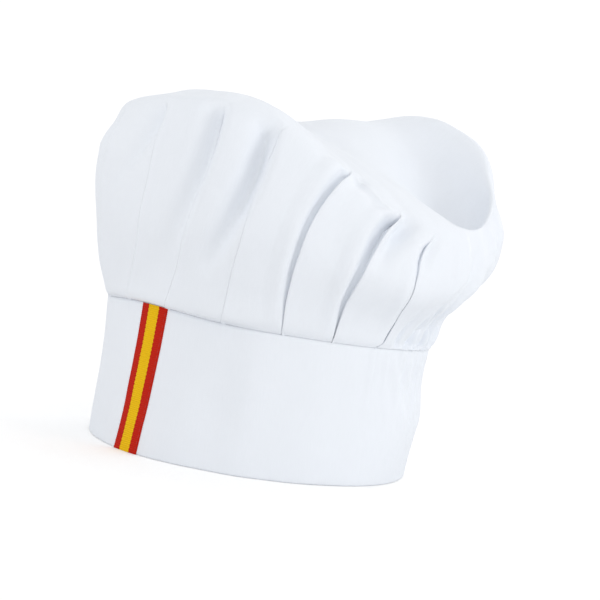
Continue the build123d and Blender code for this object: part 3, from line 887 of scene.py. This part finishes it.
def soft_folds(psi, radius):
    """Outward offset in mm of everything but the pleats."""
    rise = RISE[:, None]
    turn = psi % 360.0
    arc = turn * MM_PER_DEG
    # gathers over the elastic: sharp at the seam, merging into broad folds above
    out = gathers(psi) * (0.5 + 2.3 * ramp(rise, 0.0, 0.04)) * (1 - ramp(rise, 0.08, 0.26))
    broad = 0.0
    for amplitude, wavelength, phase in BROAD_FOLDS:
        broad = broad + amplitude * np.sin(2 * math.pi * arc / wavelength + phase
                                           + 0.8 * np.sin(arc / 41.0 + phase))
    back = ramp(turn, 94, 112) * ramp(turn, 266, 248)
    out = out + (np.tanh(broad * 1.2) * 2.6 * back * ramp(rise, 0.02, 0.18)
                 * (1 - ramp(rise, 0.34, 0.55)))
    for points, (width_before, width_after), depths in VALLEYS:
        gap = wrap(psi - eased(points, 5)[:, None]) * radius * math.pi / 180.0
        out = out - eased(depths, 5)[:, None] * np.where(
            gap < 0, bump(gap, 0, width_before), bump(gap, 0, width_after))
    facet = (0.9 * np.exp(-np.abs(rise - FACET_LOW) / 0.022)
             - 2.0 * bump(rise, 0.5 * (FACET_LOW + FACET_HIGH), 0.034)
             + 1.0 * np.exp(-np.abs(rise - FACET_HIGH) / 0.022))
    for centre, width in FACETS:
        out = out + bump(wrap(psi - centre), 0, width) * facet
    turn = wrap(psi)
    crease = np.interp(turn, CREASE_PSI, CREASE_RISE)
    return out + ramp(turn, 66, 69) * ramp(turn, 84, 80) * (
        1.3 * np.exp(-np.abs(rise - crease) / 0.010)
        - 0.9 * bump(rise, crease - 0.05, 0.035) + 0.4 * bump(rise, crease + 0.05, 0.03))


def crown_surface():
    """psi and points of the crown's outer face, from the seam to the last full ring."""
    psi, out = crown_columns()
    radius, height = crown_base(psi)
    normal = base_normals(psi)
    rise = RISE[:, None]
    # the cloth rolls out and a little down over the band before it climbs, most in front
    puff = bump(wrap(psi), 2, 32) * 0.9 + 0.05
    base = round_point(psi, radius, height)
    base = base + normal * (1.6 * puff * bump(rise, 0.030, 0.022))[..., None]
    base[..., 2] -= 0.7 * puff * bump(rise, 0.022, 0.016) * ramp(rise, 0.0, 0.006)
    points = base + normal * (out + soft_folds(psi, radius))[..., None]
    # soft unevenness of the cloth
    uneven = (noise(points, 42.0, 1.5) * 1.3 + noise(points, 19.0, 4.2) * 0.45
              + noise(points, 9.0, 9.1) * 0.10)
    return psi, points + normal * (uneven * ramp(rise, 0.02, 0.12))[..., None]


# Allowance turned down inside the band, then over its top edge: depth, mm above the edge
SKIRT = ((2.65, -ALLOWANCE), (2.65, -6.0), (2.65, -4.0), (2.65, -2.0), (2.65, -0.6),
         (2.4, 0.10), (2.0, 0.14), (1.1, 0.14), (0.35, 0.13))
UV_ROW, UV_RADIUS = 40, 112     # the row and radius that the widths of cloth are taken at
SEAM_GAP = 1.5                  # cloth width from the last column to the first
INNER_RINGS = (0.80, 0.62, 0.44, 0.27)      # radii as shares of the last full ring's


def build_crown():
    """One sheet: allowance, seam, sides and top. Columns halve towards the middle."""
    psi, surface = crown_surface()
    skirt = np.array([top_edge_point(psi[0], depth, rise) for depth, rise in SKIRT])
    # the first rows leave from the band's own displaced edge
    shift = top_edge_point(psi[0], -0.02, 0.14) - surface[0]
    surface = surface + shift[None] * ramp(RISE, 0.03, 0.0)[:, None, None]
    grid = np.concatenate([skirt, surface], 0)
    rows, cols, _ = grid.shape

    arc = np.maximum.accumulate((psi[UV_ROW] - psi[UV_ROW][0]) * UV_RADIUS * math.pi / 180.0)
    across = np.append(arc, arc[-1] + SEAM_GAP)
    row_gaps = np.linalg.norm(np.diff(grid, axis=0), axis=2).mean(1)
    along = np.append(0, np.cumsum(row_gaps))
    points = [grid.reshape(-1, 3)]
    faces = grid_quads(rows, cols).tolist()
    uv = uv_list(grid_uv(across[None, :], along[:, None]))

    rim, count = grid[-1], rows * cols
    rim_radius = np.hypot(rim[:, 0], rim[:, 1]).mean()
    outer, outer_along = np.arange(count - cols, count), along[-1]
    step = 1
    for share in INNER_RINGS:
        outer_across = across[::step]
        step *= 2
        x, y, z = rim[::step].T
        points.append(np.stack([x * share, y * share,
                                CENTRE_Z + (z - CENTRE_Z) * share ** 1.6], -1))
        inner = count + np.arange(len(x))
        count += len(inner)
        inner_along = along[-1] + rim_radius * (1 - share)
        for k in range(len(inner)):
            out0, out1, out2 = (outer[(2 * k + j) % len(outer)] for j in range(3))
            in0, in1 = inner[k], inner[(k + 1) % len(inner)]
            faces += [(out0, out1, in0), (out1, in1, in0), (out1, out2, in1)]
            across0, across1, across2 = outer_across[2 * k:2 * k + 3]
            uv += [(across0, outer_along), (across1, outer_along), (across0, inner_along),
                   (across1, outer_along), (across2, inner_along), (across0, inner_along),
                   (across1, outer_along), (across2, outer_along), (across2, inner_along)]
        outer, outer_along = inner, inner_along
    points.append(np.array([[0.0, 0.0, CENTRE_Z]]))
    for k, (start, end) in enumerate(zip(across[:-1:step], across[step::step])):
        faces.append((outer[k], outer[(k + 1) % len(outer)], count))
        uv += [(start, outer_along), (end, outer_along),
               ((start + end) / 2, along[-1] + rim_radius)]

    crown = new_object("crown_cloth", np.concatenate(points), faces, DRILL, uv)
    thickness = crown.modifiers.new("thickness", "SOLIDIFY")
    thickness.thickness = 0.00045
    thickness.offset = -1.0
    apply_modifiers(crown)
    return crown


install(build_crown(), "crown", blend=True)

# ------------------------------------------------------------------ the ribbon

RIBBON_HALF = 10.0          # half width of the ribbon
CENTRE_HALF = 4.0           # half width of its centre stripe
ROWS_PER_RIB = 6


def lean(z):
    """How far the ribbon has strayed from the centre front at a height, in mm."""
    return -2.0 + 7.4 * np.asarray(z, float) / BAND_HEIGHT


def ribbon_stripe(name, x0, x1, material, selvedge):
    """A ribbed stripe of grosgrain from x0 to x1. selvedge: -1 or 1 for the side (x0 or x1)
    that is the ribbon's own edge, 0 for none; the other sides are toothed."""
    z0, z1 = 0.2, BAND_HEIGHT - 0.15
    steps = int(round((z1 - z0) / RIB)) * ROWS_PER_RIB
    levels = z0 + (z1 - z0) * np.arange(steps + 1) / steps
    phase = 2 * math.pi * np.arange(steps + 1) / ROWS_PER_RIB
    share = np.linspace(0, 1, int((x1 - x0) / 0.5) + 1)
    half_phase = (levels - z0) / (z1 - z0) * (steps // ROWS_PER_RIB) * math.pi
    tooth = 0.16 * np.sign(np.sin(half_phase + 0.01)) * np.abs(np.sin(half_phase)) ** 0.5
    ripple = 0.10 * np.sin(phase)
    start = x0 + (ripple if selvedge == -1 else tooth)
    end = x1 + (ripple if selvedge == 1 else tooth)
    across = between(start[:, None], end[:, None], share)
    height = 0.42 + 0.10 * np.cos(phase)[:, None]
    if selvedge:
        inward = (share if selvedge < 0 else 1 - share)[None, :] * (x1 - x0)
        height = height * ramp(inward, -0.15, 0.45) + 0.05 * bump(inward, 0.7, 0.4)
    # the tape was sewn on with a slight lean
    across = across + lean(levels)[:, None]
    psi = across / MM_PER_DEG
    skins = [band_point(psi, levels[:, None], -(0.10 + height)),
             band_point(psi, levels[:, None], -0.05)]
    rows, cols = across.shape
    count = rows * cols
    ids = np.arange(count).reshape(rows, cols)
    quads = grid_quads(rows, cols, closed_cols=False)
    quad_uv = grid_uv(across, levels[:, None])
    flipped = [0, 3, 2, 1]
    faces = quads.tolist() + (quads[:, flipped] + count).tolist()
    uv = uv_list(quad_uv) + uv_list(quad_uv[:, flipped])

    def close_side(first, second, flip):
        """A quad between the two skins along one step of the stripe's outline."""
        low, high = ids[first], ids[second]
        face = (low, high, count + high, count + low)
        faces.append(face[::-1] if flip else face)
        uv.extend([(across[first], levels[first[0]])] * 4)

    for i in range(rows - 1):
        close_side((i, 0), (i + 1, 0), False)
        close_side((i, -1), (i + 1, -1), True)
    for j in range(cols - 1):
        close_side((0, j), (0, j + 1), True)
        close_side((-1, j), (-1, j + 1), False)
    points = np.concatenate([skin.reshape(-1, 3) for skin in skins])
    return new_object(name, points, faces, material, uv)


for piece, x0, x1, material, slot, selvedge in (
        ("ribbon_right_stripe", -RIBBON_HALF, -CENTRE_HALF, RED, "ribbon_red", -1),
        ("ribbon_centre_stripe", -CENTRE_HALF, CENTRE_HALF, YELLOW, "ribbon_yellow", 0),
        ("ribbon_left_stripe", CENTRE_HALF, RIBBON_HALF, RED, "ribbon_red", 1)):
    install(ribbon_stripe(piece + "_cloth", x0, x1, material, selvedge), piece)

# ------------------------------------------------------------------ threads and label

def threads(name, runs, radius, material, closed=False, sides=6):
    """Round threads along polylines (each (n, 3) in mm); the ends of open ones are drawn in."""
    points, faces, uv = [], [], []
    base = 0
    for run in runs:
        run = np.asarray(run, float)
        count = len(run)
        if closed:
            tangent = np.roll(run, -1, 0) - np.roll(run, 1, 0)
        else:
            tangent = np.gradient(run, axis=0)
        tangent = unit(tangent, 1e-9)
        sideways = np.cross(tangent, np.array([0.0, 0.0, 1.0]))
        # where the thread runs nearly upright, use the direction from the hat's axis instead
        upright = np.linalg.norm(sideways, axis=1) < 0.2
        sideways[upright] = np.cross(tangent[upright], run[upright] * [1, 1, 0])
        sideways = unit(sideways, 1e-9)
        other = np.cross(tangent, sideways)
        radii = np.full(count, radius)
        if not closed:
            radii[0] = radii[-1] = radius * 0.55
        angle = 2 * math.pi * np.arange(sides) / sides
        ring = (sideways[:, None] * np.cos(angle)[None, :, None]
                + other[:, None] * np.sin(angle)[None, :, None])
        points.append((run[:, None] + radii[:, None, None] * ring).reshape(-1, 3))
        along = np.append(0, np.cumsum(np.linalg.norm(np.diff(run, axis=0), axis=1)))
        if closed:
            along = np.append(along, 0)
        faces += (base + grid_quads(count, sides, closed_rows=closed)).tolist()
        uv += uv_list(grid_uv(np.arange(sides + 1)[None, :] * 0.2, along[:, None]))
        if not closed:
            faces.append([base + j for j in range(sides)][::-1])
            faces.append([base + (count - 1) * sides + j for j in range(sides)])
            uv += [(0.0, 0.0)] * (2 * sides)
        base += count * sides
    return face_outward(new_object(name, np.concatenate(points), faces, material, uv))


# one lock stitch: places along it as shares of its length, and how deep it dips there
UPRIGHT_STITCH = np.array([-0.5, -0.42, -0.2, 0.0, 0.2, 0.42, 0.5])
SEAM_STITCH = np.array([-0.5, -0.43, -0.22, 0.0, 0.22, 0.43, 0.5])
STITCH_DIP = 0.16 * np.array([1.0, 0.35, 0.0, -0.1, 0.0, 0.35, 1.0])
STITCH_PITCH = 3.2
STITCH_LENGTH = 2.3


def lock_row(psi_at, depth, z0, z1):
    """An upright row of lock stitches, each dipping into the cloth at both ends."""
    count = int((z1 - z0) // STITCH_PITCH)
    step = (z1 - z0) / count
    inward = -1.0 if depth > 1.0 else 1.0       # stitches on the inside dip outward
    rows = []
    for i in range(count):
        z = z0 + step * (i + 0.5) + STITCH_LENGTH * UPRIGHT_STITCH
        rows.append(band_point(psi_at(z), z, depth + inward * STITCH_DIP))
    return rows


def ribbon_row(offset):
    return lock_row(lambda z: (lean(z) + offset) / MM_PER_DEG, -0.58, 1.5, BAND_HEIGHT - 2)


RIBBON_STITCH_X = 8.9       # from the ribbon's middle
install(threads("ribbon_edge_stitches",
                ribbon_row(-RIBBON_STITCH_X) + ribbon_row(RIBBON_STITCH_X), 0.13, RED_THREAD),
        "ribbon_stitching")

for side, sign in (("left", 1), ("right", -1)):
    row = lock_row(lambda z: sign * (SIDE_SEAM - 1.4), depth=2.36, z0=1.5, z1=68.5)
    install(threads(side + "_side_stitches", row, 0.14, WHITE_THREAD),
            side + "_side_seam_stitching")

# short upright stitches, one above the other, at each end of the elastic
elastic_bars = [band_point(psi, np.linspace(53.2, 55.6, 5) + 4.0 * k, 0.67)
                for psi in (SIDE_SEAM + 2.6, 360 - SIDE_SEAM - 2.6) for k in range(6)]
install(threads("elastic_end_stitches", elastic_bars, 0.05, WHITE_THREAD),
        "elastic_end_stitching", blend=True)

SEAM_STITCHES = 116
SEAM_STITCH_LENGTH = 3.5
seam_rows = [top_edge_point(360.0 * (i + 0.5) / SEAM_STITCHES
                            + SEAM_STITCH_LENGTH / MM_PER_DEG * SEAM_STITCH,
                            3.24 - STITCH_DIP, -2.0) for i in range(SEAM_STITCHES)]
install(threads("crown_seam_stitches", seam_rows, 0.14, WHITE_THREAD),
        "crown_seam_stitching", blend=True)

# one endless thread coiled round the allowance's lower edge
LOOPS, LOOP_POINTS = 330, 10
loop_share = np.arange(LOOPS * LOOP_POINTS) / (LOOPS * LOOP_POINTS)
loop_angle = 2 * math.pi * loop_share * LOOPS
coil = top_edge_point(loop_share * 360.0, 2.875 + 0.40 * np.sin(loop_angle),
                      -ALLOWANCE - 0.1 + 1.25 * np.cos(loop_angle))
install(threads("crown_overlock_threads", [coil], 0.13, WHITE_THREAD, closed=True, sides=5),
        "crown_seam_overlock", blend=True)

LABEL_PSI, LABEL_HALF_ANGLE = 165.0, 9.4
LABEL_HALF_THICKNESS = 0.11
# middle line of each layer, (depth, z)
LABEL_DOWN = [(3.78, 78.8), (3.86, 74), (4.0, 66), (4.2, 56), (4.38, 48), (4.44, 42.5)]
LABEL_UP = [(5.24, 42.5), (5.16, 48), (4.92, 56), (4.62, 66), (4.40, 74), (4.26, 78.8)]


def care_label():
    """A blank folded tape: caught in the seam at the top, hanging free, folded at the bottom."""
    fold = [(4.84 - 0.40 * math.cos(angle), 42.2 - 0.55 * math.sin(angle))
            for angle in np.linspace(0.25, math.pi - 0.25, 7)]
    line = np.array(LABEL_DOWN + fold + LABEL_UP)
    tangent = unit(np.gradient(line, axis=0), 0.0)
    normal = np.stack([-tangent[:, 1], tangent[:, 0]], -1) * LABEL_HALF_THICKNESS
    section = np.concatenate([line + normal, (line - normal)[::-1]])
    psi = np.linspace(LABEL_PSI - LABEL_HALF_ANGLE, LABEL_PSI + LABEL_HALF_ANGLE, 31)
    return face_outward(sweep("care_label_tape", psi, section, SATIN))


install(care_label(), "care_label", blend=True)

# ------------------------------------------------------------------ stage, light and camera
# From here on lengths are in metres.

AMBIENT = 0.86              # the world's light on the hat
FLOOR = 0.80                # the floor's reflectance
FLOOR_RADIUS = 12.0
FLOOR_MOUTH = 0.084         # radius of the opening under the hat
FLOOR_SIDES = 64

scene = bpy.context.scene
scene.view_settings.view_transform = "Standard"
scene.view_settings.look = "None"
scene.view_settings.exposure = 0.0


def floor_material():
    """Looks white to the camera, while less light than that falls on the hat."""
    material, shader = new_material("studio_floor")
    camera_ray = shader.add("LightPath", output="Is Camera Ray")
    diffuse = shader.add("BsdfDiffuse", Color=(FLOOR, FLOOR, FLOOR, 1))
    glow = shader.add("Emission", Color=(1, 1, 1, 1),
                      Strength=shader.times(camera_ray, 1.06 - FLOOR))
    near = shader.add("AddShader", diffuse, glow)
    # away from the hat the camera sees plain white
    position = shader.add("NewGeometry", output="Position")
    distance = shader.add("VectorMath", position, operation="LENGTH", output="Value")
    far = shader.add("MapRange", interpolation_type="SMOOTHSTEP", Value=distance,
                     From_Min=0.13, From_Max=0.24, output="Result")
    white = shader.add("Emission", Color=(1, 1, 1, 1), Strength=1.05)
    seen = shader.add("MixShader", shader.times(camera_ray, far), near, white)
    # from below the camera sees through it
    backfacing = position.node.outputs["Backfacing"]
    clear = shader.add("BsdfTransparent")
    shader.finish(shader.add("MixShader", shader.times(camera_ray, backfacing), seen, clear))
    return material


def build_floor():
    """A ring, open inside the band's footprint so that light reaches the hat's inside."""
    material = floor_material()
    mesh = bpy.data.meshes.new("studio_floor")
    turns = [2 * math.pi * k / FLOOR_SIDES for k in range(FLOOR_SIDES)]
    points = [(radius * math.cos(turn), radius * math.sin(turn), 0)
              for radius in (FLOOR_MOUTH, FLOOR_RADIUS) for turn in turns]
    faces = [(k, k + FLOOR_SIDES, (k + 1) % FLOOR_SIDES + FLOOR_SIDES, (k + 1) % FLOOR_SIDES)
             for k in range(FLOOR_SIDES)]
    mesh.from_pydata(points, [], faces)
    mesh.materials.append(material)
    floor = bpy.data.objects.new("studio_floor", mesh)
    scene.collection.objects.link(floor)


def build_world():
    """White to the camera, AMBIENT to everything else."""
    world = bpy.data.worlds.new("studio_world")
    world.use_nodes = True
    shader = Shader(world.node_tree)
    background = world.node_tree.nodes["Background"]
    background.inputs["Color"].default_value = (1.0, 1.0, 1.0, 1)
    camera_ray = shader.add("LightPath", output="Is Camera Ray")
    shader.feed(background.inputs["Strength"],
                shader.math("MULTIPLY_ADD", camera_ray, 1.05 - AMBIENT, AMBIENT))
    scene.world = world


CAMERA_ANGLE = math.radians(-45.5)      # in plan from +X: in front, on the wearer's left
CAMERA_DISTANCE = 1.108
CAMERA_Z = 0.176
VIEW_WIDTH = 0.358                      # width in view at the hat's axis
SENSOR = 36.0
TILT = math.radians(8.4)                # about the line of sight
to_camera = np.array([math.cos(CAMERA_ANGLE), math.sin(CAMERA_ANGLE), 0.0])
view_right = np.array([-to_camera[1], to_camera[0], 0.0])


def add_light(name, front, right, up, size, power):
    """A disk light: front towards the camera, right in the view, up; aimed at the hat."""
    data = bpy.data.lights.new(name, "AREA")
    data.shape = "DISK"
    data.size = size
    data.energy = power
    light = bpy.data.objects.new(name, data)
    scene.collection.objects.link(light)
    place = Vector(to_camera * front + view_right * right + np.array([0, 0, up]))
    light.location = place
    aim = Vector((0, 0, 0.10)) - place
    light.rotation_euler = aim.to_track_quat("-Z", "Y").to_euler()


def add_camera():
    data = bpy.data.cameras.new("camera")
    camera = bpy.data.objects.new("camera", data)
    scene.collection.objects.link(camera)
    place = Vector((to_camera[0] * CAMERA_DISTANCE, to_camera[1] * CAMERA_DISTANCE, CAMERA_Z))
    data.sensor_width = SENSOR
    data.lens = SENSOR * CAMERA_DISTANCE / VIEW_WIDTH
    data.shift_x = 0.0165
    data.shift_y = -0.236
    data.clip_start = 0.05
    data.clip_end = 60.0
    aim = (Vector((0, 0, CAMERA_Z)) - place).to_track_quat("-Z", "Y").to_matrix().to_4x4()
    camera.matrix_world = Matrix.Translation(place) @ aim @ Matrix.Rotation(TILT, 4, "Z")
    scene.camera = camera


build_floor()
build_world()
add_light("key", front=0.75, right=1.40, up=0.42, size=0.60, power=4.9)
add_light("left", front=0.6, right=-1.45, up=0.35, size=0.7, power=2.8)
add_light("front", front=1.6, right=0.1, up=0.25, size=0.7, power=1.35)
add_light("back", front=-1.1, right=0.6, up=1.2, size=0.7, power=3.0)
add_camera()
